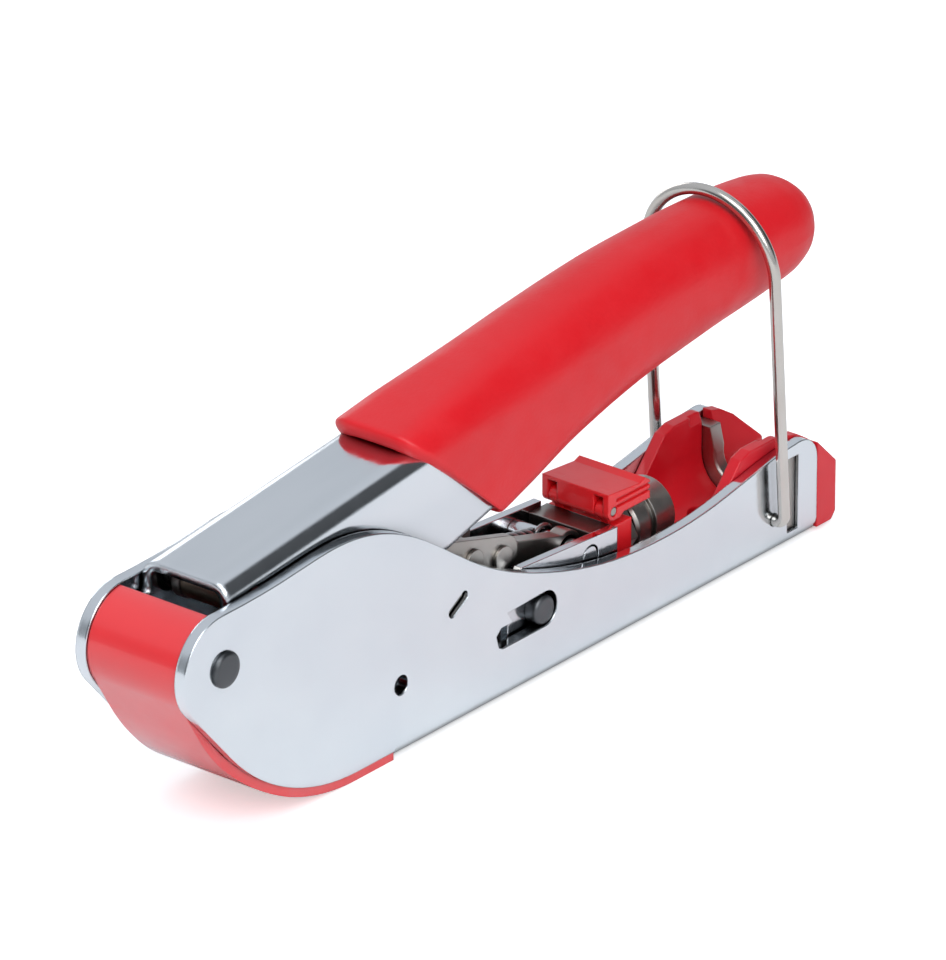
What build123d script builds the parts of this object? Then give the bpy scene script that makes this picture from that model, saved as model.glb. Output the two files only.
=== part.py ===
from build123d import *
import os
from math import asin, atan2, cos, degrees, hypot, radians, sin

# Hand-held compression tool for coaxial cable connectors. Millimetres, +X towards the tail, +Z up,
# origin on the rest face under the middle of the tool. Stations along the tool are measured from
# a datum just ahead of the nose and turned into row positions by x_at().

# ---- driving dimensions -------------------------------------------------------------------------
NOSE_FRONT = 2.05        # station of the nose's front
TAIL = 167.0             # station of the grip's end
BODY_HALF = 11.0         # outside of the folded channel
SHEET = 2.0
BASE_BEND = 2.6          # outer bend radius of the channel
CLOSED_SLOPE = 6.7       # handle web against the base, degrees
PLUNGER_Z = 12.5         # axis of the plunger and of the connector nest
HOLE_GAP = 0.03          # radial gap of a fixed pin in its hole
RUN_GAP = 0.06           # radial gap of a running pin


def x_at(station):
    """Row X of a station along the tool."""
    return station - (NOSE_FRONT + TAIL) / 2


# ---- axes across the tool, as (X, Z) ------------------------------------------------------------
PIVOT = (x_at(11.6), 31.25)
CRANK_RADIUS = 12.5
CRANK_ANGLE = 35.0
CRANK = (
    PIVOT[0] + CRANK_RADIUS * cos(radians(CRANK_ANGLE)),
    PIVOT[1] + CRANK_RADIUS * sin(radians(CRANK_ANGLE)),
)
LINK_REAR = (x_at(104.6), 15.5)
GUIDE = (x_at(90.3), 12.0)
BAIL = (x_at(149.8), 6.35)
FLIP = (x_at(112.9), 19.9)
ANCHOR = (x_at(68.2), 21.3)
ANCHOR_TILT = radians(31)
CORD_HOLE = (x_at(54.0), 12.55)

# ---- nose and cover -----------------------------------------------------------------------------
INNER_HALF = BODY_HALF - SHEET
COVER_T = 1.6
COVER_HALF = INNER_HALF - 0.1
PLATE_END = x_at(161.2)
PLATE_END_TOP = 18.2
NOSE = (x_at(11.1), 31.4)
NOSE_R = 9.05
COVER_NOSE_R = 8.7
BELLY_R = 40.0
BELLY = (x_at(43.3), COVER_T + BELLY_R)
COVER_LIP = x_at(10.4)
COVER_END = x_at(52.4)
WEB_FRONT = x_at(52.6)

# ---- handle and grip ----------------------------------------------------------------------------
HANDLE_HALF = 8.6
HANDLE_SHEET = 1.5
HANDLE_FRONT = x_at(15.2)
HANDLE_TOP = 43.0
HANDLE_END = x_at(156.0)

# ---- pins and wire ------------------------------------------------------------------------------
PIVOT_R = 2.5
CRANK_R = 2.0
LINK_PIN_R = 2.0
LINK_EYE_R = 2.42        # the link's rear eye is loose on its pin, see the coupling of the plunger
GUIDE_R = 2.5
FLIP_R = 0.8
WIRE_R = 1.0
BAIL_HALF = 13.1
BAIL_ARCH_Z = 50.2
BAIL_LEAN = 4.4          # the bail leans forward over the grip, degrees
SPRING_Y = 1.4
SPRING_R = 2.1
SPRING_WIRE = 0.4

os.makedirs("parts", exist_ok=True)


def save(builder, name):
    """Label a finished sub-part and write its STEP file."""
    builder.part.label = name
    export_step(builder.part, f"parts/{name}.step")


def on_circle(centre, radius, angle):
    """Point of a circle in the side view, angle in degrees from +X."""
    return (centre[0] + radius * cos(radians(angle)), centre[1] + radius * sin(radians(angle)))


def tangent_angle(nose_r, belly_r):
    """Direction of the points where one straight line touches the nose and the belly circles."""
    dx = BELLY[0] - NOSE[0]
    dz = BELLY[1] - NOSE[1]
    return degrees(atan2(dz, dx) - asin((belly_r - nose_r) / hypot(dx, dz))) - 90


def across(centre, z_dir=-1):
    """Plane with its origin on an axis across the tool, local x = +X and local y = +Z."""
    return Plane(origin=(centre[0], 0, centre[1]), x_dir=(1, 0, 0), z_dir=(0, z_dir, 0))


def stations(*pairs):
    """Side-view points from (station, height) pairs."""
    return [(x_at(station), height) for station, height in pairs]


def front_outline(nose_r, belly_r, start_angle, base_z):
    """Nose arc, straight slope and belly arc, drawn into the current line. Returns its two ends."""
    touch = tangent_angle(nose_r, belly_r)
    nose_end = on_circle(NOSE, nose_r, touch)
    belly_start = on_circle(BELLY, belly_r, touch)
    start = on_circle(NOSE, nose_r, start_angle)
    mid_angle = (start_angle + touch + 360) / 2
    ThreePointArc(start, on_circle(NOSE, nose_r, mid_angle), nose_end)
    Line(nose_end, belly_start)
    belly_mid = on_circle(BELLY, belly_r, (touch - 90) / 2)
    belly_end = (BELLY[0], base_z)
    ThreePointArc(belly_start, belly_mid, belly_end)
    return start, belly_end


# ==== body: one folded steel channel =============================================================
with BuildSketch(Plane.XZ) as plate_outline:
    with BuildLine():
        top_start, belly_end = front_outline(NOSE_R, BELLY_R, 90, COVER_T)
        Spline(
            top_start,
            *stations((27.0, 41.15), (41.5, 41.95), (54.5, 38.4), (73.9, 26.0), (92.7, 17.95)),
            *stations((108.0, 14.5), (119.5, 13.75), (132.0, 14.4), (147.0, 17.0)),
            (PLATE_END, PLATE_END_TOP),
            tangents=((1, 0), (1, 0)),
        )
        Polyline(
            (PLATE_END, PLATE_END_TOP),
            (PLATE_END, 0),
            (WEB_FRONT, 0),
            (WEB_FRONT, COVER_T),
            belly_end,
        )
    make_face()
    fillet(plate_outline.vertices().sort_by(Axis.X)[-2:].sort_by(Axis.Y)[-1], 4.5)

with BuildPart() as body:
    with BuildSketch(Plane.XZ):
        add(plate_outline.sketch_local)
    extrude(amount=BODY_HALF, both=True)
    # outer bends of the folded sheet
    with BuildSketch(Plane.YZ.offset(WEB_FRONT)):
        with BuildSketch(mode=Mode.PRIVATE) as section:
            Rectangle(2 * BODY_HALF, 20, align=(Align.CENTER, Align.MIN))
            fillet(section.vertices().group_by(Axis.Y)[0], BASE_BEND)
        Rectangle(2 * BODY_HALF, 10, align=(Align.CENTER, Align.MIN))
        add(section.sketch_local, mode=Mode.SUBTRACT)
    extrude(amount=TAIL, mode=Mode.SUBTRACT)
    # inside of the channel
    with BuildSketch(Plane.XZ):
        with Locations((x_at(110), SHEET + 30)):
            Rectangle(2 * (x_at(110) - WEB_FRONT), 60)
        with Locations((x_at(0), 30)):
            Rectangle(2 * (WEB_FRONT - x_at(0)), 80)
    extrude(amount=INNER_HALF, both=True, mode=Mode.SUBTRACT)
    # joggled tongue that the cover strip is riveted to
    with Locations((x_at(50.5), 0, COVER_T)):
        Box(13, 14, SHEET, align=(Align.CENTER, Align.CENTER, Align.MIN))
    # pivot, cord hole and bail holes
    with BuildSketch(Plane.XZ):
        with Locations(PIVOT):
            Circle(PIVOT_R + HOLE_GAP)
        with Locations(CORD_HOLE):
            Circle(1.7)
        with Locations(BAIL):
            Circle(WIRE_R + 0.1)
    extrude(amount=BODY_HALF + 1, both=True, mode=Mode.SUBTRACT)
    # stepped slot of the guide pin
    with BuildSketch(Plane.XZ):
        with BuildLine():
            low = GUIDE[1] - GUIDE_R - 0.1
            high = low + 6.1
            end_r = (high - low) / 2
            bend_x = GUIDE[0] - 0.2
            ThreePointArc((bend_x, low), (bend_x + end_r, low + end_r), (bend_x, high))
            Polyline(
                (bend_x, high),
                (x_at(80.5), high - 0.3),
                (x_at(81.9), low + 3.75),
                (x_at(78.9), low + 3.75),
                (x_at(77.7), low + 2.6),
                (x_at(78.3), low + 0.5),
                (x_at(79.3), low),
                (bend_x, low),
            )
        make_face()
    extrude(amount=BODY_HALF + 1, both=True, mode=Mode.SUBTRACT)
    # slanted slots of the spring anchor, upright slots of the anvil plate
    with BuildSketch(Plane.XZ):
        with Locations(Location((ANCHOR[0], ANCHOR[1], 0), degrees(ANCHOR_TILT))):
            SlotOverall(5.3, 1.75)
        with Locations((x_at(154.75), 9.3)):
            Rectangle(2.9, 13.2)
    extrude(amount=BODY_HALF + 1, both=True, mode=Mode.SUBTRACT)
    # holes for the cover rivets and the cradle rivet
    with Locations((x_at(48), 4.5, 10), (x_at(48), -4.5, 10), (x_at(145), 0, 10)):
        Hole(1.25 + HOLE_GAP, depth=20)
save(body, "body_channel")

# ==== nose cover =================================================================================
def lip_angle(radius):
    """Direction in which a circle round the nose reaches the station of the cover's lip."""
    reach = COVER_LIP - NOSE[0]
    return degrees(atan2((radius**2 - reach**2) ** 0.5, reach))


COVER_TOP_ANGLE = lip_angle(COVER_NOSE_R)
COVER_IN_ANGLE = lip_angle(COVER_NOSE_R - COVER_T)

# half width of the cover in plan, from its front to its foot
COVER_FOOT_HALF = BODY_HALF - 0.3
COVER_PLAN = (
    *stations((-1, COVER_HALF), (13, COVER_HALF), (27, COVER_FOOT_HALF)),
    (COVER_END, COVER_FOOT_HALF),
)

with BuildSketch(Plane.XZ) as cover_fill:
    with BuildLine():
        lip, foot = front_outline(COVER_NOSE_R, BELLY_R + COVER_T, COVER_TOP_ANGLE, 0)
        Polyline(foot, (COVER_END, 0), (COVER_END, COVER_T), (COVER_END, 12), lip)
    make_face()

with BuildSketch(Plane.XZ) as cover_core:
    with BuildLine():
        core_lip, core_foot = front_outline(COVER_NOSE_R - COVER_T, BELLY_R, COVER_IN_ANGLE, COVER_T)
        Polyline(core_foot, (COVER_END + 1, COVER_T), (COVER_END + 1, 60), (COVER_LIP, 60), core_lip)
    make_face()

with BuildPart() as cover:
    # part of the cover between the side plates
    with BuildSketch(Plane.XZ):
        add(cover_fill.sketch_local)
        add(cover_core.sketch_local, mode=Mode.SUBTRACT)
    extrude(amount=COVER_HALF, both=True)
    # full-width part that lies under the plates' lower edges
    with BuildSketch(Plane.XZ):
        add(cover_fill.sketch_local)
        add(plate_outline.sketch_local, mode=Mode.SUBTRACT)
    extrude(amount=BODY_HALF, both=True)
    with BuildSketch(Plane.XY):
        Polygon(*COVER_PLAN, *[(x, -y) for x, y in reversed(COVER_PLAN)], align=None)
    extrude(amount=60, mode=Mode.INTERSECT)
    with Locations((x_at(48), 4.5, 10), (x_at(48), -4.5, 10)):
        Hole(1.25 + HOLE_GAP, depth=20)
    # rivet heads sit in countersinks from below
    for y in (4.5, -4.5):
        with BuildSketch(Plane.XY):
            with Locations((x_at(48), y)):
                Circle(2.3)
        extrude(amount=1.1, taper=40, mode=Mode.SUBTRACT)
save(cover, "nose_cover")

with BuildPart() as cover_rivets:
    for y in (4.5, -4.5):
        with BuildSketch(Plane.XY.offset(0.05)):
            with Locations((x_at(48), y)):
                Circle(2.2)
        extrude(amount=1.0, taper=40)
        with BuildSketch(Plane.XY.offset(0.1)):
            with Locations((x_at(48), y)):
                Circle(1.25)
        extrude(amount=COVER_T + SHEET)
        with BuildSketch(Plane.XY.offset(COVER_T + SHEET)):
            with Locations((x_at(48), y)):
                Circle(2.2)
        extrude(amount=0.8, taper=25)
save(cover_rivets, "cover_rivets")

# ==== spring anchor ==============================================================================
ANCHOR_PLANE = Plane(
    origin=(ANCHOR[0], SPRING_Y, ANCHOR[1]),
    x_dir=(0, 1, 0),
    z_dir=(-sin(ANCHOR_TILT), 0, cos(ANCHOR_TILT)),
)

with BuildPart() as anchor:
    with BuildSketch(Plane.XZ):
        with Locations(Location((ANCHOR[0], ANCHOR[1], 0), degrees(ANCHOR_TILT))):
            Rectangle(4.3, 1.2)
    extrude(amount=BODY_HALF - 0.9, both=True)
    with Locations(ANCHOR_PLANE):
        Hole(1.25, depth=3)
save(anchor, "spring_anchor")

# ==== cradle, anvil and their rivet ==============================================================
CRADLE_HALF = INNER_HALF - 0.1
NEST_R = 6.8
CABLE_R = 4.3
ANVIL_X = x_at(154.75)
ANVIL_T = 2.7

with BuildPart() as cradle:
    with BuildSketch(Plane.XZ):
        Polygon(
            *stations((137.0, 2.05), (137.0, 11.5), (143.4, 18.6), (146.0, 19.4), (152.5, 19.4)),
            *stations((158.6, 18.0), (161.3, 16.3), (161.3, 2.05)),
            align=None,
        )
    extrude(amount=CRADLE_HALF, both=True)
    with BuildSketch(Plane.XZ):
        with BuildLine():
            Polyline(
                *stations((161.3, 2.05), (161.3, 16.2), (166.3, 11.3)),
                *stations((166.3, 2.2), (165.2, 0.9), (161.3, 0.9)),
                close=True,
            )
        make_face()
    extrude(amount=BODY_HALF, both=True)
    long_edges = cradle.edges().filter_by(Axis.Y).filter_by(lambda e: e.center().X > x_at(163))
    fillet(long_edges, 0.7)
    # nest for the connector, open at the top and the front
    with BuildSketch(Plane.YZ.offset(x_at(136))):
        with Locations((0, PLUNGER_Z)):
            Circle(NEST_R)
            Rectangle(2 * NEST_R, 20, align=(Align.CENTER, Align.MIN))
    extrude(amount=17.4, mode=Mode.SUBTRACT)
    # cable slot through the rear wall, flared at the top
    with BuildSketch(Plane.YZ.offset(x_at(150))):
        with Locations((0, PLUNGER_Z - 1.5)):
            Circle(CABLE_R)
        with BuildLine():
            Polyline(
                (-CABLE_R, PLUNGER_Z - 1.5),
                (-CABLE_R - 3.4, 20),
                (CABLE_R + 3.4, 20),
                (CABLE_R, PLUNGER_Z - 1.5),
                close=True,
            )
        make_face()
    extrude(amount=20, mode=Mode.SUBTRACT)
    # slot of the anvil plate and pockets for the ends of the bail
    with BuildSketch(Plane.YZ.offset(ANVIL_X - ANVIL_T / 2 - 0.1)):
        with Locations((0, 5.1)):
            Rectangle(2 * BODY_HALF, 30, align=(Align.CENTER, Align.MIN))
        with Locations((-10, 0), (10, 0)):
            Rectangle(10.2, 30)
    extrude(amount=ANVIL_T + 0.2, mode=Mode.SUBTRACT)
    for side in (-1, 1):
        with BuildSketch(Plane.XZ.offset(-side * (CRADLE_HALF + 0.5))):
            with Locations(BAIL):
                Circle(1.6)
        extrude(amount=side * 1.7, mode=Mode.SUBTRACT)
    with Locations((x_at(145), 0, 10)):
        Hole(1.25 + HOLE_GAP, depth=20)
        CounterBoreHole(1.25 + HOLE_GAP, 2.6, 5.2, depth=20)
save(cradle, "cable_cradle")

with BuildPart() as anvil:
    with BuildSketch(Plane.YZ.offset(ANVIL_X - ANVIL_T / 2)):
        Rectangle(2 * CRADLE_HALF, 17.0, align=(Align.CENTER, Align.MIN))
        with Locations((0, 2.8)):
            Rectangle(2 * BODY_HALF - 1.4, 13.0, align=(Align.CENTER, Align.MIN))
        Rectangle(2 * CRADLE_HALF + 10, 2.8, align=(Align.CENTER, Align.MIN), mode=Mode.SUBTRACT)
        Rectangle(10, 5.2, align=(Align.CENTER, Align.MIN), mode=Mode.SUBTRACT)
        with Locations((0, PLUNGER_Z)):
            Circle(CABLE_R - 0.2, mode=Mode.SUBTRACT)
        with BuildLine():
            Polyline(
                (-CABLE_R + 0.2, PLUNGER_Z),
                (-CABLE_R - 1.6, 20),
                (CABLE_R + 1.6, 20),
                (CABLE_R - 0.2, PLUNGER_Z),
                close=True,
            )
        make_face(mode=Mode.SUBTRACT)
    extrude(amount=ANVIL_T)
    notch = anvil.edges().filter_by(lambda e: e.geom_type == GeomType.CIRCLE)
    chamfer(notch, 0.35)
save(anvil, "anvil_plate")

with BuildPart() as cradle_rivet:
    with BuildSketch(Plane.XY.offset(0.05)):
        with Locations((x_at(145), 0)):
            Circle(1.25)
    extrude(amount=5.25)
    with BuildSketch(Plane.XY.offset(5.22)):
        with Locations((x_at(145), 0)):
            Circle(2.3)
    extrude(amount=0.45, taper=20)
save(cradle_rivet, "cradle_rivet")

# ==== handle pivot ===============================================================================


def make_pin(name, centre, radius, half_length, bevel):
    """Bevelled pin across the tool, saved under its own name."""
    with BuildPart() as pin:
        with BuildSketch(across(centre)):
            Circle(radius)
        extrude(amount=half_length, both=True)
        rims = pin.edges().filter_by(GeomType.CIRCLE).group_by(Axis.Y)
        chamfer(rims[0] + rims[-1], bevel)
    save(pin, name)


HEAD_R = 3.0
HEAD_T = 0.75

with BuildPart() as pivot_pin:
    with BuildSketch(across(PIVOT)):
        Circle(PIVOT_R)
    extrude(amount=BODY_HALF, both=True)
    for side in (-1, 1):
        with BuildSketch(Plane.XZ.offset(-side * BODY_HALF)):
            with Locations(PIVOT):
                Circle(HEAD_R)
        extrude(amount=-side * HEAD_T)
    rims = pivot_pin.edges().filter_by(GeomType.CIRCLE).group_by(Axis.Y)
    fillet(rims[0] + rims[-1], 0.5)
save(pivot_pin, "pivot_pin")

with BuildPart() as pivot_bush:
    with BuildSketch(across(PIVOT)):
        Circle(4.0)
        Circle(PIVOT_R + RUN_GAP, mode=Mode.SUBTRACT)
    extrude(amount=HANDLE_HALF, both=True)
save(pivot_bush, "pivot_bush")

with BuildPart() as washers:
    for side in (-1, 1):
        with BuildSketch(Plane.XZ.offset(-side * (HANDLE_HALF + 0.04))):
            with Locations(PIVOT):
                Circle(5.2)
                Circle(PIVOT_R + RUN_GAP, mode=Mode.SUBTRACT)
        extrude(amount=-side * 0.32)
save(washers, "pivot_washers")

# ==== handle =====================================================================================
SLOPE = radians(CLOSED_SLOPE)
HANDLE_DIR = (cos(SLOPE), sin(SLOPE))


def handle_section(station, half_width, height, shoulder, drop=0.0):
    """Section of the handle, square to its web: flat bottom and rounded shoulders."""
    run = station - 15.2
    origin = (
        x_at(15.2) + run * HANDLE_DIR[0] + drop * HANDLE_DIR[1],
        0,
        HANDLE_TOP + run * HANDLE_DIR[1] - drop * HANDLE_DIR[0],
    )
    plane = Plane(origin=origin, x_dir=(0, 1, 0), z_dir=(HANDLE_DIR[0], 0, HANDLE_DIR[1]))
    with BuildSketch(plane) as section:
        Rectangle(2 * half_width, height, align=(Align.CENTER, Align.MAX))
        fillet(section.vertices().group_by(Axis.Y)[-1], shoulder)
    return section.sketch


HANDLE_STATIONS = ((2.0, HANDLE_HALF), (84.0, HANDLE_HALF), (108.0, 6.9), (159.0, 6.3))

with BuildPart() as envelope:
    loft([handle_section(at, half, 34, 3.0) for at, half in HANDLE_STATIONS], ruled=True)
    # side view of the cheeks
    with BuildSketch(Plane.XZ):
        with Locations(PIVOT):
            Circle(7.0)
        with BuildLine():
            Polyline(
                (HANDLE_FRONT, 60),
                (HANDLE_FRONT, 38.0),
                PIVOT,
                *stations((17.4, 25.7), (40.0, 27.4), (68.7, 30.2)),
                *stations((80.0, 33.2), (90.0, 37.4), (108, 42.0)),
                (HANDLE_END, 47.2),
                (HANDLE_END, 70),
                close=True,
            )
        make_face()
    extrude(amount=BODY_HALF, both=True, mode=Mode.INTERSECT)

with BuildPart() as handle:
    add(envelope.part)
    # hollow inside of the inverted channel
    loft(
        [
            handle_section(at, half - HANDLE_SHEET, 40, 1.5, drop=HANDLE_SHEET)
            for at, half in ((1.0, HANDLE_HALF), *HANDLE_STATIONS[1:-1], (161.0, 6.3))
        ],
        ruled=True,
        mode=Mode.SUBTRACT,
    )
    for centre, radius in ((PIVOT, 4.0 + HOLE_GAP), (CRANK, CRANK_R + HOLE_GAP)):
        with BuildSketch(across(centre)):
            Circle(radius)
        extrude(amount=BODY_HALF, both=True, mode=Mode.SUBTRACT)
save(handle, "handle_channel")

# ==== grip =======================================================================================
# station, top, bottom, half width, radius of the upper and of the lower corners
GRIP_SECTIONS = (
    (54.0, 50.4, 30.0, 9.8, 4.8, 2.0),
    (70.0, 53.6, 30.6, 10.0, 6.5, 2.5),
    (82.0, 55.6, 31.2, 10.0, 7.8, 3.0),
    (90.0, 57.0, 33.0, 10.0, 8.6, 4.5),
    (100.0, 58.8, 35.2, 9.9, 9.2, 6.8),
    (112.0, 60.4, 37.6, 9.8, 9.4, 8.0),
    (122.0, 61.3, 39.2, 9.7, 9.3, 8.6),
    (140.0, 61.9, 41.2, 9.5, 9.2, 9.0),
    (152.0, 61.7, 42.3, 9.4, 9.1, 9.0),
    (160.0, 60.9, 43.5, 9.0, 8.5, 8.4),
    (164.5, 59.6, 45.2, 7.6, 7.0, 6.9),
    (166.4, 57.6, 47.2, 5.6, 5.0, 4.9),
    (TAIL, 55.5, 49.4, 3.4, 2.9, 2.8),
)

with BuildPart() as grip:
    for station, top, bottom, half, top_r, bottom_r in GRIP_SECTIONS:
        with BuildSketch(Plane.YZ.offset(x_at(station))) as section:
            with Locations((0, (top + bottom) / 2)):
                Rectangle(2 * half, top - bottom)
            fillet(section.vertices().group_by(Axis.Y)[-1], top_r)
            fillet(section.vertices().group_by(Axis.Y)[0], bottom_r)
    loft(ruled=True)
    # front edge of the sleeve: forward over the web, slanting back down the cheeks
    with BuildSketch(Plane.XZ):
        with BuildLine():
            edge = Spline(*stations((59.6, 51.8), (63.7, 48.0), (70.3, 41.6), (81.5, 31.4)))
            Polyline(edge @ 1, *stations((88, 20), (40, 20), (40, 70), (59.6, 70)), edge @ 0)
        make_face()
    extrude(amount=20, both=True, mode=Mode.SUBTRACT)
    add(envelope.part, mode=Mode.SUBTRACT)
save(grip, "handle_grip")

# ==== link from the handle to the plunger carriage ===============================================
LINK_LENGTH = hypot(LINK_REAR[0] - CRANK[0], LINK_REAR[1] - CRANK[1])
LINK_HALF = 5.6
LINK_SHEET = 1.5
LINK_INNER = LINK_HALF - LINK_SHEET
LINK_PLANE = Plane(
    origin=(CRANK[0], 0, CRANK[1]),
    x_dir=(LINK_REAR[0] - CRANK[0], 0, LINK_REAR[1] - CRANK[1]),
    z_dir=(0, -1, 0),
)
RIVET_SPOTS = ((58.5, 0.6), (66.0, 0.6))
RIVET_R = 1.2

make_pin("crank_pin", CRANK, CRANK_R, HANDLE_HALF - 0.1, 0.3)

with BuildPart() as crank_sleeve:
    with BuildSketch(LINK_PLANE):
        Circle(3.0)
        Circle(CRANK_R + RUN_GAP, mode=Mode.SUBTRACT)
    extrude(amount=LINK_INNER - 0.05, both=True)
save(crank_sleeve, "crank_sleeve")

with BuildPart() as link:
    with BuildSketch(LINK_PLANE):
        Circle(3.3)
        with Locations((2, -1.7)):
            Rectangle(65, 5.9, align=(Align.MIN, Align.MIN))
        with Locations((67, 1.25)):
            Circle(2.95)
        Circle(CRANK_R + RUN_GAP, mode=Mode.SUBTRACT)
    extrude(amount=LINK_HALF, both=True)
    with BuildSketch(LINK_PLANE):
        with Locations((-5, -5)):
            Rectangle(80, 7.7, align=(Align.MIN, Align.MIN))
        with Locations((-5, -5)):
            Rectangle(14, 12, align=(Align.MIN, Align.MIN))
        with Locations((57, -5)):
            Rectangle(20, 12, align=(Align.MIN, Align.MIN))
    extrude(amount=LINK_INNER, both=True, mode=Mode.SUBTRACT)
    # rivet holes of the near cheek, which carries the push bar
    with BuildSketch(LINK_PLANE):
        with Locations(*RIVET_SPOTS):
            Circle(RIVET_R + HOLE_GAP)
    extrude(amount=BODY_HALF, mode=Mode.SUBTRACT)
save(link, "link_channel")

BAR_NEAR = -3.95
BAR_FAR = -1.35

with BuildPart() as push_bar:
    with BuildSketch(LINK_PLANE.offset(-BAR_FAR)):
        with Locations((LINK_LENGTH, 0)):
            Circle(3.2)
        with Locations((53, -1.6)):
            Rectangle(LINK_LENGTH - 53, 4.0, align=(Align.MIN, Align.MIN))
        with Locations((LINK_LENGTH, 0)):
            Circle(LINK_EYE_R, mode=Mode.SUBTRACT)
        with Locations(*RIVET_SPOTS):
            Circle(RIVET_R + HOLE_GAP, mode=Mode.SUBTRACT)
    extrude(amount=BAR_FAR - BAR_NEAR)
save(push_bar, "push_bar")

with BuildPart() as link_rivets:
    for start, end, radius in (
        (-BAR_FAR - 0.2, -BAR_FAR, 2.1),
        (-BAR_FAR, LINK_HALF, RIVET_R),
        (LINK_HALF, LINK_HALF + 0.6, 2.1),
    ):
        with BuildSketch(LINK_PLANE.offset(start)):
            with Locations(*RIVET_SPOTS):
                Circle(radius)
        extrude(amount=end - start)
save(link_rivets, "link_rivets")

# ==== plunger carriage ===========================================================================
CARRIAGE_HALF = 8.6
CARRIAGE_SHEET = 1.5
CARRIAGE_INNER = CARRIAGE_HALF - CARRIAGE_SHEET
CARRIAGE_REAR = x_at(111.5)
ROD_R = 3.0
HEAD_FRONT = x_at(131.0)
HEAD_REAR = x_at(120.9)
PLUNGER_R = 5.5
CARRIAGE_RIVETS = stations((110.0, 6.9), (110.0, 12.0))

with BuildPart() as carriage:
    with BuildSketch(Plane.XZ):
        Polygon(
            *stations((83.5, 2.4), (83.5, 16.0), (87.0, 20.0)),
            (CARRIAGE_REAR, 18.3),
            (CARRIAGE_REAR, 2.4),
            align=None,
        )
    extrude(amount=CARRIAGE_HALF, both=True)
    with BuildSketch(Plane.XZ):
        with Locations((x_at(97), 3.9)):
            Rectangle(60, 30, align=(Align.CENTER, Align.MIN))
    extrude(amount=CARRIAGE_INNER, both=True, mode=Mode.SUBTRACT)
    with BuildSketch(Plane.XZ):
        with Locations(GUIDE):
            Circle(GUIDE_R + HOLE_GAP)
        with Locations(LINK_REAR):
            Circle(LINK_PIN_R + HOLE_GAP)
        with Locations(*CARRIAGE_RIVETS):
            Circle(1.0 + HOLE_GAP)
    extrude(amount=BODY_HALF, both=True, mode=Mode.SUBTRACT)
save(carriage, "plunger_carriage")

make_pin("guide_pin", GUIDE, GUIDE_R, BODY_HALF - 0.15, 0.35)

make_pin("link_pin", LINK_REAR, LINK_PIN_R, CARRIAGE_HALF - 0.05, 0.3)

with BuildPart() as plunger_block:
    with BuildSketch(Plane.YZ.offset(x_at(108.4))):
        with Locations((0, 4.2)):
            Rectangle(2 * CARRIAGE_INNER - 0.04, 13.2, align=(Align.CENTER, Align.MIN))
        with Locations((0, PLUNGER_Z)):
            Circle(ROD_R, mode=Mode.SUBTRACT)
    extrude(amount=4.6)
    with BuildSketch(Plane.XZ):
        with Locations(*CARRIAGE_RIVETS):
            Circle(1.0 + HOLE_GAP)
    extrude(amount=BODY_HALF, both=True, mode=Mode.SUBTRACT)
save(plunger_block, "plunger_block")

with BuildPart() as carriage_rivets:
    for side in (-1, 1):
        for start, end, radius in ((4.6, CARRIAGE_HALF, 1.0), (CARRIAGE_HALF, CARRIAGE_HALF + 0.28, 1.7)):
            with BuildSketch(Plane.XZ.offset(side * start)):
                with Locations(*CARRIAGE_RIVETS):
                    Circle(radius)
            extrude(amount=side * (end - start))
save(carriage_rivets, "carriage_rivets")

with BuildPart() as rod:
    with BuildSketch(Plane.YZ.offset(x_at(108.5))):
        with Locations((0, PLUNGER_Z)):
            Circle(ROD_R)
    extrude(amount=15.4)
    chamfer(rod.edges().filter_by(GeomType.CIRCLE).sort_by(Axis.X)[0], 0.4)
save(rod, "plunger_rod")

with BuildPart() as lock_nut:
    with BuildSketch(Plane.YZ.offset(x_at(117.6))):
        with Locations((0, PLUNGER_Z)):
            RegularPolygon(5.0, 6, major_radius=False)
            Circle(ROD_R + 0.01, mode=Mode.SUBTRACT)
    extrude(amount=2.9)
save(lock_nut, "lock_nut")

with BuildPart() as plunger_head:
    with BuildSketch(Plane.YZ.offset(HEAD_REAR)):
        with Locations((0, PLUNGER_Z)):
            Circle(PLUNGER_R)
    extrude(amount=HEAD_FRONT - HEAD_REAR)
    chamfer(plunger_head.edges().filter_by(GeomType.CIRCLE), 0.5)
    # groove round the middle
    with BuildSketch(Plane.YZ.offset(HEAD_REAR + 3.4)):
        with Locations((0, PLUNGER_Z)):
            Circle(PLUNGER_R + 1)
            Circle(PLUNGER_R - 0.7, mode=Mode.SUBTRACT)
    extrude(amount=1.4, mode=Mode.SUBTRACT)
    # blind bores: the rod's seat at the rear, the connector's pin at the front
    with BuildSketch(Plane.YZ.offset(HEAD_REAR)):
        with Locations((0, PLUNGER_Z)):
            Circle(ROD_R + 0.01)
    extrude(amount=3.2, mode=Mode.SUBTRACT)
    with BuildSketch(Plane.YZ.offset(HEAD_FRONT)):
        with Locations((0, PLUNGER_Z)):
            Circle(2.0)
    extrude(amount=-6.0, mode=Mode.SUBTRACT)
save(plunger_head, "plunger_head")

# ==== flip block on its saddle ===================================================================
SADDLE_FRONT = x_at(113.1)
SADDLE_REAR = x_at(117.4)
SADDLE_TOP = 17.4
BLOCK_HALF = 6.8
EAR_IN = 3.9
EAR_OUT = 5.5

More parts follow.
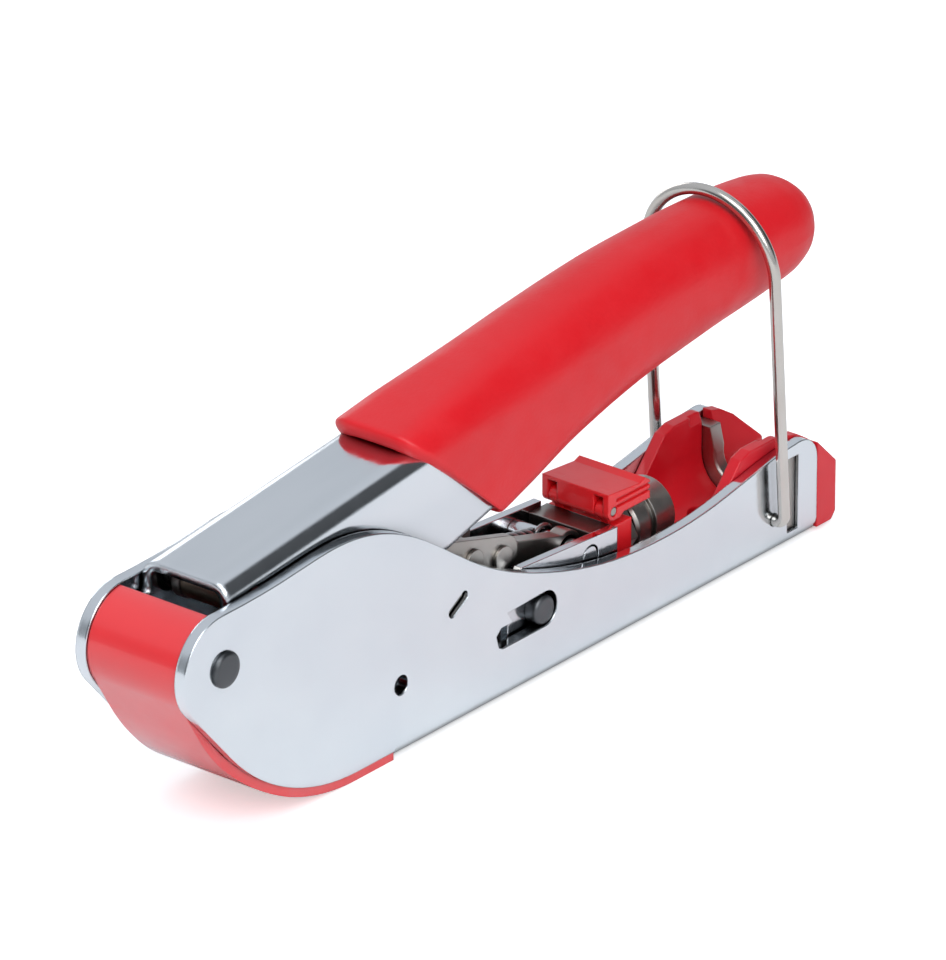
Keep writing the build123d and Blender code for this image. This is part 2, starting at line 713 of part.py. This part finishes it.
with BuildPart() as saddle:
    with BuildSketch(Plane.YZ.offset(SADDLE_FRONT)):
        with Locations((0, 8.6)):
            Rectangle(2 * BLOCK_HALF, SADDLE_TOP - 8.6, align=(Align.CENTER, Align.MIN))
        with Locations((0, PLUNGER_Z)):
            Circle(ROD_R + HOLE_GAP, mode=Mode.SUBTRACT)
        with Locations((0, 8.6)):
            slot_width = 2 * (ROD_R - 0.2)
            Rectangle(
                slot_width, PLUNGER_Z - 8.6, align=(Align.CENTER, Align.MIN), mode=Mode.SUBTRACT
            )
    extrude(amount=SADDLE_REAR - SADDLE_FRONT)
    for side in (-1, 1):
        with BuildSketch(Plane.XZ.offset(side * EAR_IN)):
            with Locations(FLIP):
                Circle(1.45)
            Polygon(
                (FLIP[0] - 1.0, FLIP[1] - 1.0),
                (SADDLE_FRONT, SADDLE_TOP + 0.2),
                (SADDLE_FRONT, SADDLE_TOP - 0.6),
                (SADDLE_FRONT + 3.0, SADDLE_TOP - 0.6),
                (FLIP[0] + 1.35, FLIP[1] + 0.5),
                align=None,
            )
            with Locations(FLIP):
                Circle(FLIP_R + HOLE_GAP, mode=Mode.SUBTRACT)
        extrude(amount=side * (EAR_OUT - EAR_IN))
save(saddle, "block_saddle")

make_pin("flip_pin", FLIP, FLIP_R, BLOCK_HALF - 0.1, 0.15)

with BuildPart() as flip_block:
    with BuildSketch(Plane.XZ):
        with BuildLine():
            toe = 1.5
            ThreePointArc(
                (FLIP[0], FLIP[1] - toe),
                on_circle(FLIP, toe, 225),
                (FLIP[0] - toe, FLIP[1]),
            )
            Polyline(
                (FLIP[0] - toe, FLIP[1]),
                (FLIP[0] - toe, 23.3),
                *stations((119.6, 22.6), (121.0, 23.1), (122.2, 22.3)),
                *stations((122.2, 19.1), (115.4, 19.1), (114.6, 18.4)),
                (FLIP[0], FLIP[1] - toe),
            )
        make_face()
        with Locations(FLIP):
            Circle(FLIP_R + RUN_GAP, mode=Mode.SUBTRACT)
    extrude(amount=BLOCK_HALF, both=True)
    # clearance for the saddle's ears
    for side in (-1, 1):
        with BuildSketch(Plane.XZ.offset(side * (EAR_IN - 0.15))):
            with Locations(FLIP):
                Circle(3.1)
        extrude(amount=side * (EAR_OUT - EAR_IN + 0.3), mode=Mode.SUBTRACT)
    # finger grooves along both sides
    for side in (-1, 1):
        for height in (20.6, 21.7):
            with Locations((x_at(118.0), side * BLOCK_HALF, height)):
                Box(9.0, 0.7, 0.45, mode=Mode.SUBTRACT)
save(flip_block, "flip_block")

# ==== wire bail ==================================================================================
LEAN = radians(BAIL_LEAN)
BAIL_PLANE = Plane(origin=(BAIL[0], 0, BAIL[1]), x_dir=(0, 1, 0), z_dir=(cos(LEAN), 0, sin(LEAN)))
LEG = (BAIL_ARCH_Z - BAIL[1]) / cos(LEAN)
ELBOW = 1.5
BAIL_TIP = 7.9

with BuildPart() as bail:
    with BuildLine(BAIL_PLANE) as wire:
        Line((-BAIL_TIP, 0), (-BAIL_HALF + ELBOW, 0))
        RadiusArc((-BAIL_HALF + ELBOW, 0), (-BAIL_HALF, ELBOW), ELBOW)
        Line((-BAIL_HALF, ELBOW), (-BAIL_HALF, LEG))
        ThreePointArc((-BAIL_HALF, LEG), (0, LEG + BAIL_HALF), (BAIL_HALF, LEG))
        Line((BAIL_HALF, LEG), (BAIL_HALF, ELBOW))
        RadiusArc((BAIL_HALF, ELBOW), (BAIL_HALF - ELBOW, 0), ELBOW)
        Line((BAIL_HALF - ELBOW, 0), (BAIL_TIP, 0))
    with BuildSketch(Plane(origin=wire.line @ 0, z_dir=wire.line % 0)):
        Circle(WIRE_R)
    sweep(path=wire.line)
save(bail, "lock_bail")

# ==== return spring ==============================================================================
SPRING_TURNS = 18
LOOP_R = 2.55
# the hook grips the anchor plate between its hole and its rear edge
HOOK_R = 1.7
HOOK = (ANCHOR[0] + HOOK_R * cos(ANCHOR_TILT), ANCHOR[1] + HOOK_R * sin(ANCHOR_TILT))
SPRING_SPAN = hypot(LINK_REAR[0] - HOOK[0], LINK_REAR[1] - HOOK[1])
SPRING_DIR = Vector(LINK_REAR[0] - HOOK[0], 0, LINK_REAR[1] - HOOK[1]).normalized()
COIL_LENGTH = SPRING_SPAN - HOOK_R - LOOP_R
HOOK_POINT = Vector(HOOK[0], SPRING_Y, HOOK[1])
COIL_FRONT = HOOK_POINT + SPRING_DIR * HOOK_R
COIL_REAR = COIL_FRONT + SPRING_DIR * COIL_LENGTH

with BuildPart() as spring:
    with BuildLine() as coil:
        Helix(COIL_LENGTH / SPRING_TURNS, COIL_LENGTH, SPRING_R, center=COIL_FRONT, direction=SPRING_DIR)
    with BuildSketch(Plane(origin=coil.line @ 0, z_dir=coil.line % 0)):
        Circle(SPRING_WIRE)
    sweep(path=coil.line, is_frenet=True)
    # straight ends that join the coil to its hook and loop, a little thinner where they are drawn out
    for rim, centre in ((coil.line @ 0, COIL_FRONT), (coil.line @ 1, COIL_REAR)):
        with BuildSketch(Plane(origin=rim, z_dir=centre - rim)):
            Circle(0.9 * SPRING_WIRE)
        extrude(amount=SPRING_R)
    for centre, radius in ((HOOK_POINT, HOOK_R), (COIL_REAR + SPRING_DIR * LOOP_R, LOOP_R)):
        with Locations(Plane(origin=centre, z_dir=(0, 1, 0))):
            Torus(radius, SPRING_WIRE)
save(spring, "return_spring")
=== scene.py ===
"""Looks of the hand connector press: materials, vinyl sleeve, spring, studio, camera. Metres, +Z up."""

from math import cos, radians, sin

import bmesh
import bpy
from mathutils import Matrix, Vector


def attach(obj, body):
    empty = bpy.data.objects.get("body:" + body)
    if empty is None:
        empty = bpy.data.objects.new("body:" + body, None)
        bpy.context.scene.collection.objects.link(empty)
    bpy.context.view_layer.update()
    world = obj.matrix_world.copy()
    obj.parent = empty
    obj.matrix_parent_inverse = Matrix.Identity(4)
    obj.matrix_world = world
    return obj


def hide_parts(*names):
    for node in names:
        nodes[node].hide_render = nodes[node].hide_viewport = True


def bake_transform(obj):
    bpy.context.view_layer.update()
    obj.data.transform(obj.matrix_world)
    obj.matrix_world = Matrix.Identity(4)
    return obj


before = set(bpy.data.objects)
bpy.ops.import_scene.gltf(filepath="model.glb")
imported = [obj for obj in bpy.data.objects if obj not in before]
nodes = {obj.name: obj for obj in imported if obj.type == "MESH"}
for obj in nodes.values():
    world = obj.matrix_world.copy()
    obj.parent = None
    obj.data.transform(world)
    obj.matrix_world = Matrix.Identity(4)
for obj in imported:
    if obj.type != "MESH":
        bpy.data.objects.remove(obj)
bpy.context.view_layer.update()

MM = 0.001
MIDDLE = 84.525             # station of the row's origin along the tool, mm
BEVEL_SAMPLES = 12
RECESS_SAMPLES = 6
OPEN_SKY = (0.1, 0.75)      # shares of open sky at which the painted recess shade is darkest and gone


# ---- node helpers -------------------------------------------------------------------------------
def new_material(name):
    """Empty node material with its Principled shader; returns (material, tree, shader)."""
    material = bpy.data.materials.new(name)
    material.use_nodes = True
    tree = material.node_tree
    return material, tree, tree.nodes["Principled BSDF"]


def value_noise(tree, scale, detail=3.0, stretch=(1, 1, 1)):
    """Noise over the part's own coordinates, scale in features per metre; returns its factor output."""
    coords = tree.nodes.new("ShaderNodeTexCoord")
    mapping = tree.nodes.new("ShaderNodeMapping")
    mapping.inputs["Scale"].default_value = stretch
    noise = tree.nodes.new("ShaderNodeTexNoise")
    noise.inputs["Scale"].default_value = scale
    noise.inputs["Detail"].default_value = detail
    tree.links.new(coords.outputs["Object"], mapping.inputs["Vector"])
    tree.links.new(mapping.outputs["Vector"], noise.inputs["Vector"])
    return noise.outputs["Fac"]


def ranged(tree, source, low, high, start=0.3, end=0.7):
    """Maps start..end of a factor to low..high."""
    node = tree.nodes.new("ShaderNodeMapRange")
    node.inputs["From Min"].default_value = start
    node.inputs["From Max"].default_value = end
    node.inputs["To Min"].default_value = low
    node.inputs["To Max"].default_value = high
    tree.links.new(source, node.inputs["Value"])
    return node.outputs["Result"]


def mixed_color(tree, factor, first, second):
    """Colour between first and second by a 0..1 factor."""
    node = tree.nodes.new("ShaderNodeMix")
    node.data_type = "RGBA"
    tree.links.new(factor, node.inputs["Factor"])
    node.inputs["A"].default_value = (*first, 1)
    node.inputs["B"].default_value = (*second, 1)
    return node.outputs["Result"]


def rounded_bump(tree, shader, height, strength, distance, edge):
    """Bump over normals that are rounded at the edges by the given radius in metres."""
    bump = tree.nodes.new("ShaderNodeBump")
    bump.inputs["Strength"].default_value = strength
    bump.inputs["Distance"].default_value = distance
    bump.inputs["Filter Width"].default_value = 1.0
    tree.links.new(height, bump.inputs["Height"])
    if edge:
        bevel = tree.nodes.new("ShaderNodeBevel")
        bevel.samples = BEVEL_SAMPLES
        bevel.inputs["Radius"].default_value = edge
        tree.links.new(bevel.outputs["Normal"], bump.inputs["Normal"])
    tree.links.new(bump.outputs["Normal"], shader.inputs["Normal"])


def painted_recess_shade(tree, color, reach, depth):
    """Painted shade: darkens a colour by ambient occlusion in recesses narrower than the reach in metres,
    down to the given depth.
    """
    shade = tree.nodes.new("ShaderNodeAmbientOcclusion")
    shade.samples = RECESS_SAMPLES
    shade.inputs["Distance"].default_value = reach
    painted_darkness = ranged(tree, shade.outputs["AO"], depth, 1, *OPEN_SKY)
    scale = tree.nodes.new("ShaderNodeVectorMath")
    scale.operation = "SCALE"
    tree.links.new(color, scale.inputs[0])
    tree.links.new(painted_darkness, scale.inputs["Scale"])
    return scale.outputs["Vector"]


# ---- materials ----------------------------------------------------------------------------------
# noise scales in features per metre
METAL_CLOUDS = 60.0
METAL_POLISH = 400.0
METAL_MARKS = 2 * METAL_POLISH
COAT_CLOUDS = 45.0
COAT_POLISH = 220.0
MARK_STRENGTH = 0.035       # bump of the handling marks
MARK_HEIGHT = 0.0004        # metres
PEEL_HEIGHT = 0.0003        # metres, of the orange peel or grain


def plated_metal(name, color, stain, rough, edge, depth=0.12, reach=0.004, streak=(1, 1, 1)):
    """Bright metal: faint cloudy tint, uneven polish, fine handling marks and painted shade darkening the
    colour in the recesses.
    """
    material, tree, shader = new_material(name)
    shader.inputs["Metallic"].default_value = 1.0
    clouds = value_noise(tree, METAL_CLOUDS, stretch=streak)
    tint = mixed_color(tree, ranged(tree, clouds, 0, 1), color, stain)
    # painted shade: the tint is darkened where the part sees little open sky
    tree.links.new(painted_recess_shade(tree, tint, reach, depth), shader.inputs["Base Color"])
    polish = value_noise(tree, METAL_POLISH, detail=4.0)
    tree.links.new(ranged(tree, polish, *rough), shader.inputs["Roughness"])
    marks = value_noise(tree, METAL_MARKS, detail=5.0, stretch=streak)
    rounded_bump(tree, shader, marks, MARK_STRENGTH, MARK_HEIGHT, edge)
    return material


def coated_red(name, color, shade, rough, edge, coat, grain=900.0, bump=0.04):
    """Red coat or moulding: slight shade change, light orange peel, clear sheen on top."""
    material, tree, shader = new_material(name)
    clouds = value_noise(tree, COAT_CLOUDS)
    tint = mixed_color(tree, ranged(tree, clouds, 0, 1), color, shade)
    tree.links.new(tint, shader.inputs["Base Color"])
    polish = value_noise(tree, COAT_POLISH, detail=4.0)
    tree.links.new(ranged(tree, polish, *rough), shader.inputs["Roughness"])
    shader.inputs["Coat Weight"].default_value = coat
    shader.inputs["Coat Roughness"].default_value = 0.05
    shader.inputs["Coat IOR"].default_value = 1.65
    peel = value_noise(tree, grain, detail=2.0)
    rounded_bump(tree, shader, peel, bump, PEEL_HEIGHT, edge)
    return material


ALONG = (0.12, 1, 1)        # marks drawn out along the tool
# each: name, colour, second colour of the clouds, range of roughness, radius of rounded edges in metres
# every plated metal carries painted shade in its recesses; depth and reach set it where given
CHROME = plated_metal("chrome_plate", (0.82, 0.86, 0.89), (0.77, 0.81, 0.85), (0.10, 0.18), 0.0005)
HANDLE_CHROME = plated_metal(
    "handle_chrome", (0.84, 0.87, 0.90), (0.70, 0.74, 0.78), (0.08, 0.17), 0.0016, streak=ALONG
)
# painted shade: depth and reach darken the carriage almost to black where it lies deep in the slots
CARRIAGE_CHROME = plated_metal(
    "carriage_chrome",
    (0.80, 0.82, 0.85),
    (0.74, 0.76, 0.80),
    (0.10, 0.18),
    0.0003,
    depth=0.02,
    reach=0.012,
)
STEEL = plated_metal("machined_steel", (0.50, 0.48, 0.45), (0.38, 0.35, 0.32), (0.29, 0.38), 0.0003)
# painted shade in the recesses, kept lighter here by depth 0.4
DARK_STEEL = plated_metal(
    "dark_steel", (0.15, 0.155, 0.165), (0.10, 0.105, 0.11), (0.29, 0.38), 0.0012, depth=0.4
)
BRASS = plated_metal("brass", (0.46, 0.40, 0.31), (0.36, 0.30, 0.23), (0.29, 0.38), 0.0003)
WIRE = plated_metal("nickel_wire", (0.72, 0.69, 0.65), (0.62, 0.58, 0.53), (0.12, 0.24), 0)
SPRING = plated_metal("spring_steel", (0.42, 0.42, 0.42), (0.32, 0.32, 0.33), (0.29, 0.4), 0)
COVER_RED = coated_red(
    "cover_red",
    (0.84, 0.016, 0.022),
    (0.78, 0.012, 0.018),
    (0.29, 0.36),
    0.0005,
    coat=1.0,
    grain=500.0,
    bump=0.015,
)
CRADLE_RED = coated_red(
    "cradle_red", (0.74, 0.008, 0.022), (0.66, 0.006, 0.016), (0.30, 0.42), 0.0005, coat=0.1
)
BLOCK_RED = coated_red(
    "block_red", (0.84, 0.012, 0.018), (0.78, 0.008, 0.014), (0.29, 0.38), 0.0004, coat=0.25
)
GRIP_RED = coated_red(
    "grip_red",
    (0.76, 0.008, 0.016),
    (0.70, 0.006, 0.012),
    (0.38, 0.52),
    0,
    coat=0.03,
    grain=1500.0,
    bump=0.12,
)

LOOKS = {
    "body_channel": CHROME,
    "handle_channel": HANDLE_CHROME,
    "plunger_carriage": CARRIAGE_CHROME,
    "link_pin": CARRIAGE_CHROME,
    "nose_cover": COVER_RED,
    "cable_cradle": CRADLE_RED,
    "flip_block": BLOCK_RED,
    "block_saddle": BLOCK_RED,
    "handle_grip": GRIP_RED,
    "pivot_pin": DARK_STEEL,
    "guide_pin": DARK_STEEL,
    "pivot_bush": DARK_STEEL,
    "crank_sleeve": BRASS,
    "lock_bail": WIRE,
    "return_spring": SPRING,
}


def dress_nodes():
    """Gives every CAD body its material, plain machined steel where nothing else is named."""
    for name, node in nodes.items():
        node.data.materials.clear()
        node.data.materials.append(LOOKS.get(name, STEEL))


dress_nodes()


# ---- sleeve -------------------------------------------------------------------------------------
# station along the tool, then top, bottom, half width and the radii of the upper and lower corners, mm
SLEEVE_SECTIONS = (
    (54.0, 50.4, 30.0, 9.8, 4.8, 2.0),
    (70.0, 53.6, 30.6, 10.0, 6.5, 2.5),
    (82.0, 55.6, 31.2, 10.0, 7.8, 3.0),
    (90.0, 57.0, 33.0, 10.0, 8.6, 4.5),
    (100.0, 58.8, 35.2, 9.9, 9.2, 6.8),
    (112.0, 60.4, 37.6, 9.8, 9.4, 8.0),
    (122.0, 61.3, 39.2, 9.7, 9.3, 8.6),
    (140.0, 61.9, 41.2, 9.5, 9.2, 9.0),
    (152.0, 61.7, 42.3, 9.4, 9.1, 9.0),
    (160.0, 60.9, 43.5, 9.1, 8.8, 8.6),
    (163.5, 60.0, 44.9, 8.1, 7.4, 7.4),
    (165.8, 58.2, 46.9, 6.3, 5.4, 5.4),
    (166.9, 55.6, 49.6, 3.6, 2.8, 2.8),
)
# height and station of the sleeve's slanted front edge
SLEEVE_EDGE = (
    (30.0, 82.6),
    (32.4, 80.3),
    (36.7, 75.3),
    (41.6, 70.3),
    (46.0, 65.7),
    (48.0, 63.4),
    (50.0, 60.9),
    (51.6, 59.6),
)
EDGE_START = 60.0           # station near the front end of the slanted edge
EDGE_REACH = 90.0           # station of the first upright ring behind the slanted edge
FANNED_RINGS = 9            # rings that turn from the slanted edge to the upright one
RING_STEP = 5.0             # distance between the upright rings
UPRIGHT_STATIONS = [EDGE_REACH + RING_STEP * k for k in range(1, 14)]
# closer together where the tail rounds off
TAIL_STATIONS = [157.5, 160.0, 161.8, 163.5, 164.8, 165.8, 166.4, 166.9]
CORNER_STEPS = 7            # pieces of each rounded corner
SETTLING_PASSES = 6         # passes that settle where a slanted ring crosses the sections
LIP = 1.1                   # wall of the sleeve at the sides of its mouth
LIP_RATIO = 2.2             # how much thicker the wall is over the web
LEAST_RADIUS = 0.5          # corner radius that an inset section keeps at least
# section of the mouth: share of the wall, distance behind the edge in mm
LIP_PROFILE = ((1.1, 14.0), (1.0, 2.2), (0.9, 1.1), (0.6, 0.4), (0.25, 0.0), (0.0, 0.4), (0.0, 1.3))


def between(table, at, column=1):
    """Value of a column of a table, in a straight line between the rows round a position."""
    if at <= table[0][0]:
        return table[0][column]
    for low, high in zip(table, table[1:]):
        if at <= high[0]:
            share = (at - low[0]) / (high[0] - low[0])
            return low[column] + share * (high[column] - low[column])
    return table[-1][column]


def section_points(station, inset=0.0):
    """Points round an upright section as (y, z) in mm, moved inwards by the inset, more so at the top."""
    top, bottom, half, top_r, bottom_r = (between(SLEEVE_SECTIONS, station, k) for k in range(1, 6))
    top -= LIP_RATIO * inset
    bottom += inset
    half -= inset
    upper_r = max(top_r - inset, LEAST_RADIUS)
    lower_r = max(bottom_r - inset, LEAST_RADIUS)
    corners = (
        (half - top_r, top - top_r, upper_r, 0),
        (-(half - top_r), top - top_r, upper_r, 90),
        (-(half - bottom_r), bottom + bottom_r, lower_r, 180),
        (half - bottom_r, bottom + bottom_r, lower_r, 270),
    )
    points = []
    for y, z, radius, start in corners:
        y = max(min(y, half - radius), radius - half)
        z = min(max(z, bottom + radius), top - radius)
        for step in range(CORNER_STEPS + 1):
            angle = radians(start + 90 * step / CORNER_STEPS)
            points.append((y + radius * cos(angle), z + radius * sin(angle)))
    return points


def sleeve_ring(share, inset=0.0, depth=0.0):
    """Ring of (station, y, z) in mm: share 0 is the slanted front edge, 1 the first upright ring."""
    station = EDGE_START + share * (EDGE_REACH - EDGE_START)
    ring = []
    for index in range(4 * (CORNER_STEPS + 1)):
        at = station
        for _ in range(SETTLING_PASSES):
            z = section_points(at)[index][1]
            edge = between(SLEEVE_EDGE, z) + depth
            at = edge + share * (EDGE_REACH - edge)
        ring.append((at, *section_points(at, inset)[index]))
    return ring


def sleeve_rings():
    """All rings from the inside of the mouth, over its lip and back to the tail."""
    rings = [sleeve_ring(0.0, share * LIP, depth) for share, depth in LIP_PROFILE]
    rings += [sleeve_ring(step / FANNED_RINGS) for step in range(1, FANNED_RINGS + 1)]
    for station in UPRIGHT_STATIONS + TAIL_STATIONS:
        rings.append([(station, y, z) for y, z in section_points(station)])
    return rings


def lofted_mesh(name, rings):
    """Smooth closed mesh through rings of (station, y, z) in mm."""
    bm = bmesh.new()
    rows = []
    for ring in rings:
        rows.append([bm.verts.new(((x - MIDDLE) * MM, y * MM, z * MM)) for x, y, z in ring])
    for first, second in zip(rows, rows[1:]):
        for k in range(len(first)):
            after = (k + 1) % len(first)
            bm.faces.new((first[k], first[after], second[after], second[k]))
    bm.faces.new(reversed(rows[0]))
    bm.faces.new(rows[-1])
    bmesh.ops.recalc_face_normals(bm, faces=bm.faces)
    mesh = bpy.data.meshes.new(name)
    bm.to_mesh(mesh)
    bm.free()
    for face in mesh.polygons:
        face.use_smooth = True
    return mesh


def build_sleeve():
    """Soft vinyl sleeve: slanted open mouth with a rolled lip, crowned back, blunt round tail."""
    mesh = lofted_mesh("grip_sleeve", sleeve_rings())
    mesh.materials.append(GRIP_RED)
    sleeve = bpy.data.objects.new("grip_sleeve", mesh)
    bpy.context.scene.collection.objects.link(sleeve)
    smooth = sleeve.modifiers.new("smooth", "SUBSURF")
    smooth.levels = 1
    smooth.render_levels = 2
    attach(sleeve, "handle")
    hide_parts("handle_grip")


build_sleeve()


def build_spring():
    """The return spring as a fixed copy of the CAD coil, from the body's anchor to its pin."""
    source = nodes["return_spring"]
    coil = bpy.data.objects.new("spring_coil", source.data.copy())
    coil.matrix_world = source.matrix_world.copy()
    bpy.context.scene.collection.objects.link(coil)
    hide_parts("return_spring")
    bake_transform(coil)


build_spring()


# ---- studio -------------------------------------------------------------------------------------
WHITE = (1, 1, 1, 1)
FLOOR_HALF = 3.0            # metres
FLOOR_LIFT = 0.5            # light added to the floor for the camera only
LIGHT_AIM = Vector((0, 0, 0.03))    # a point about half way up the tool


def build_floor():
    """Plain pale floor; the camera sees it lifted towards white, the tool is lit by its plain colour."""
    half = FLOOR_HALF
    corners = [(-half, -half, 0), (half, -half, 0), (half, half, 0), (-half, half, 0)]
    mesh = bpy.data.meshes.new("floor")
    mesh.from_pydata(corners, [], [(0, 1, 2, 3)])
    floor = bpy.data.objects.new("floor", mesh)
    bpy.context.scene.collection.objects.link(floor)
    material, tree, shader = new_material("floor_paper")
    speckle = value_noise(tree, 300.0)
    paper = mixed_color(tree, speckle, (0.86, 0.87, 0.88), (0.89, 0.90, 0.91))
    tree.links.new(paper, shader.inputs["Base Color"])
    shader.inputs["Roughness"].default_value = 0.9
    shader.inputs["Emission Color"].default_value = WHITE
    path = tree.nodes.new("ShaderNodeLightPath")
    lift = ranged(tree, path.outputs["Is Camera Ray"], 0, FLOOR_LIFT, 0, 1)
    tree.links.new(lift, shader.inputs["Emission Strength"])
    mesh.materials.append(material)


def area_light(name, place, size, power):
    """Soft square light aimed at the tool."""
    data = bpy.data.lights.new(name, "AREA")
    data.size = size
    data.energy = power
    light = bpy.data.objects.new(name, data)
    light.location = place
    aim = LIGHT_AIM - Vector(place)
    light.rotation_euler = aim.to_track_quat("-Z", "Y").to_euler()
    bpy.context.scene.collection.objects.link(light)


# direction of each dark card, its inner and outer angle in degrees and what is left of the light there
DARK_CARDS = (
    ((0.70, -0.50, 0.45), 28, 36, 0.14),
    ((0.70, 0.11, 0.70), 4, 7, 0.2),
    ((-0.9, 0.2, 0.25), 18, 30, 0.2),
)


def dark_patch(tree, direction, inner, outer, depth):
    """Factor that falls from 1 to depth round a direction, between two angles from it in degrees."""
    coords = tree.nodes.new("ShaderNodeTexCoord")
    dot = tree.nodes.new("ShaderNodeVectorMath")
    dot.operation = "DOT_PRODUCT"
    dot.inputs[1].default_value = Vector(direction).normalized()
    tree.links.new(coords.outputs["Generated"], dot.inputs[0])
    return ranged(tree, dot.outputs["Value"], 1, depth, cos(radians(outer)), cos(radians(inner)))


def combined(tree, operation, first, second):
    """Result of a math node on two factors."""
    node = tree.nodes.new("ShaderNodeMath")
    node.operation = operation
    tree.links.new(first, node.inputs[0])
    tree.links.new(second, node.inputs[1])
    return node.outputs["Value"]


def sky_color(tree):
    """Cool grey that brightens a little with height."""
    coords = tree.nodes.new("ShaderNodeTexCoord")
    split = tree.nodes.new("ShaderNodeSeparateXYZ")
    tree.links.new(coords.outputs["Generated"], split.inputs["Vector"])
    ramp = tree.nodes.new("ShaderNodeValToRGB")
    ramp.color_ramp.elements[0].color = (0.50, 0.53, 0.57, 1)
    ramp.color_ramp.elements[1].color = (0.62, 0.65, 0.70, 1)
    tree.links.new(split.outputs["Z"], ramp.inputs["Fac"])
    return ramp.outputs["Color"]


def build_world():
    """White for the camera; the metal sees a dim studio with dark cards standing in it."""
    world = bpy.data.worlds.new("studio")
    world.use_nodes = True
    bpy.context.scene.world = world
    tree = world.node_tree
    background = tree.nodes["Background"]
    seen = tree.nodes.new("ShaderNodeLightPath").outputs["Is Camera Ray"]
    choice = tree.nodes.new("ShaderNodeMix")
    choice.data_type = "RGBA"
    choice.inputs["B"].default_value = WHITE
    tree.links.new(seen, choice.inputs["Factor"])
    tree.links.new(sky_color(tree), choice.inputs["A"])
    tree.links.new(choice.outputs["Result"], background.inputs["Color"])
    shade = dark_patch(tree, *DARK_CARDS[0])
    for card in DARK_CARDS[1:]:
        shade = combined(tree, "MULTIPLY", shade, dark_patch(tree, *card))
    tree.links.new(combined(tree, "MAXIMUM", seen, shade), background.inputs["Strength"])


PIVOT_HEAD = (11.5, -11.0, 31.25)   # station, y and z of the pivot's near head, mm
VIEW_BACK = (-0.7047, -0.5720, 0.4197)      # direction from the tool back to the camera
VIEW_TURN = radians(-50.935)        # heading of the picture's right-hand side
VIEW_DISTANCE = 1.6                 # metres
VIEW_SHIFT = (0.0380, 0.02898)      # shift of the camera to the right and up, metres
LENS = 392.4                        # mm
SENSOR_WIDTH = 36                   # mm


def build_camera():
    """Long lens from the near front corner, seen from above."""
    back = Vector(VIEW_BACK).normalized()
    right = Vector((cos(VIEW_TURN), sin(VIEW_TURN), 0))
    up = back.cross(right)
    target = Vector((PIVOT_HEAD[0] - MIDDLE, PIVOT_HEAD[1], PIVOT_HEAD[2])) * MM
    place = target + back * VIEW_DISTANCE + right * VIEW_SHIFT[0] + up * VIEW_SHIFT[1]
    data = bpy.data.cameras.new("camera")
    data.sensor_width = SENSOR_WIDTH
    data.lens = LENS
    data.clip_end = 10
    camera = bpy.data.objects.new("camera", data)
    camera.location = place
    camera.rotation_euler = (-back).to_track_quat("-Z", "Y").to_euler()
    bpy.context.scene.collection.objects.link(camera)
    bpy.context.scene.camera = camera


bpy.context.scene.view_settings.view_transform = "Standard"
build_floor()
build_world()
# name, place and side in metres, power in watts
area_light("key", (-0.6, -0.9, 0.9), 0.9, 9)
area_light("top", (-0.45, -0.15, 1.2), 0.8, 4)
area_light("rear", (0.5, 1.1, 0.3), 0.6, 1.5)
build_camera()
